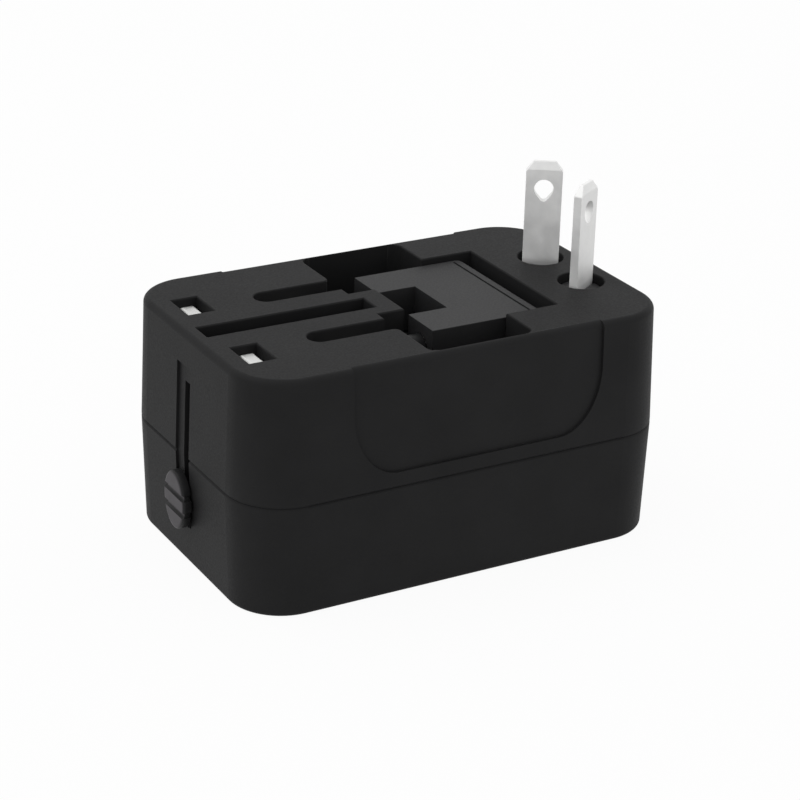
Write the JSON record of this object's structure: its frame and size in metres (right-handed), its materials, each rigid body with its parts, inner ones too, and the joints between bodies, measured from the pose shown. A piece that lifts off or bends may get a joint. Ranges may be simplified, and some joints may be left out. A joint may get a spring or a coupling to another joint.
{
  "type": "travel plug adapter",
  "caption": "Pocket plug adapter with flat blades on turrets, slide-out flat pins, a fold-up round-pin frame, a universal socket and charging ports.",
  "frame": {"origin": "centre of the flat socket face that the adapter stands on", "axes": "+Z out of the pin face, +X towards the end with the flat blades, -Y the front long side"},
  "size_m": [0.0808, 0.0496, 0.0572],
  "materials": {
    "housing": "fine-grained black moulding",
    "flap": "dark grey moulding, a little lighter than the housing",
    "slider": "dark grey moulding",
    "pin_plastic": "smooth black moulding",
    "turret": "black moulding",
    "carriage": "inner moulding",
    "core": "heat-resistant inner block",
    "shutter": "black moulding",
    "nickel": "nickel-plated brass, satin",
    "contact": "sprung contact alloy",
    "steel": "bright steel",
    "screw": "blackened steel",
    "board": "green laminate",
    "ferrite": "ferrite core",
    "can": "sleeved cans",
    "chip": "moulded chip",
    "ceramic": "ceramic tube with end caps",
    "tongue": "contact tongue and base"
  },
  "bodies": {
    "housing": {"upper_shell": "housing", "lower_shell": "housing", "socket_core": "core", "contact_live": "contact", "contact_neutral": "contact", "contact_earth": "contact", "shutter_springs": "steel", "earth_pin_axle": "steel", "earth_pin_detent": "steel", "uk_feed_springs": "contact", "uk_slide_detent": "steel", "eu_hinge_pin": "steel", "eu_feed_springs": "contact", "us_feed_rails": "contact", "power_board": "board", "transformer": "ferrite", "smoothing_capacitors": "can", "control_chip": "chip", "fuse": "ceramic", "fuse_clips": "contact", "usb_board": "board", "usb_port_front": "steel", "usb_port_back": "steel", "usb_tongues": "tongue", "case_screws": "screw"},
    "uk_slide": {"uk_carriage": "carriage", "uk_pin_live": "nickel", "uk_pin_neutral": "nickel", "uk_slider_button": "slider"},
    "earth_pin": {"uk_earth_pin": "pin_plastic"},
    "eu_flap": {"eu_flap_frame": "flap", "eu_pin_live": "nickel", "eu_pin_neutral": "nickel", "eu_pin_sleeves": "pin_plastic"},
    "us_slide": {"us_carriage": "carriage", "us_turret_cover": "carriage", "us_slider_button": "slider", "us_wipers": "contact"},
    "turret_far": {"us_turret_far": "turret", "us_blade_far": "nickel"},
    "turret_near": {"us_turret_near": "turret", "us_blade_near": "nickel"},
    "shutter": {"safety_shutter": "shutter"}
  },
  "joints": [
    {"name": "uk_pins_slide", "type": "slide", "parent": "housing", "child": "uk_slide", "axis": [0, 0, 1], "range_m": [0, 0.0187]},
    {"name": "earth_pin_fold", "type": "hinge", "parent": "housing", "child": "earth_pin", "pos_m": [-0.00805, 0, 0.03595], "axis": [0, 1, 0], "range_deg": [0, 90]},
    {"name": "eu_flap_fold", "type": "hinge", "parent": "housing", "child": "eu_flap", "pos_m": [0.0185, 0, 0.0377], "axis": [0, 1, 0], "range_deg": [0, 90]},
    {"name": "us_blades_slide", "type": "slide", "parent": "housing", "child": "us_slide", "axis": [0, 0, 1], "range_m": [-0.0177, 0]},
    {"name": "blade_far_swivel", "type": "hinge", "parent": "us_slide", "child": "turret_far", "pos_m": [0.0312, 0.00635, 0.036], "axis": [0, 0, 1], "range_deg": [0, 32]},
    {"name": "blade_near_swivel", "type": "hinge", "parent": "us_slide", "child": "turret_near", "pos_m": [0.0312, -0.00635, 0.036], "axis": [0, 0, 1], "range_deg": [-32, 0]},
    {"name": "shutter_slide", "type": "slide", "parent": "housing", "child": "shutter", "axis": [1, 0, 0], "range_m": [0, 0.0084], "stiffness_N_per_m": 60}
  ]
}
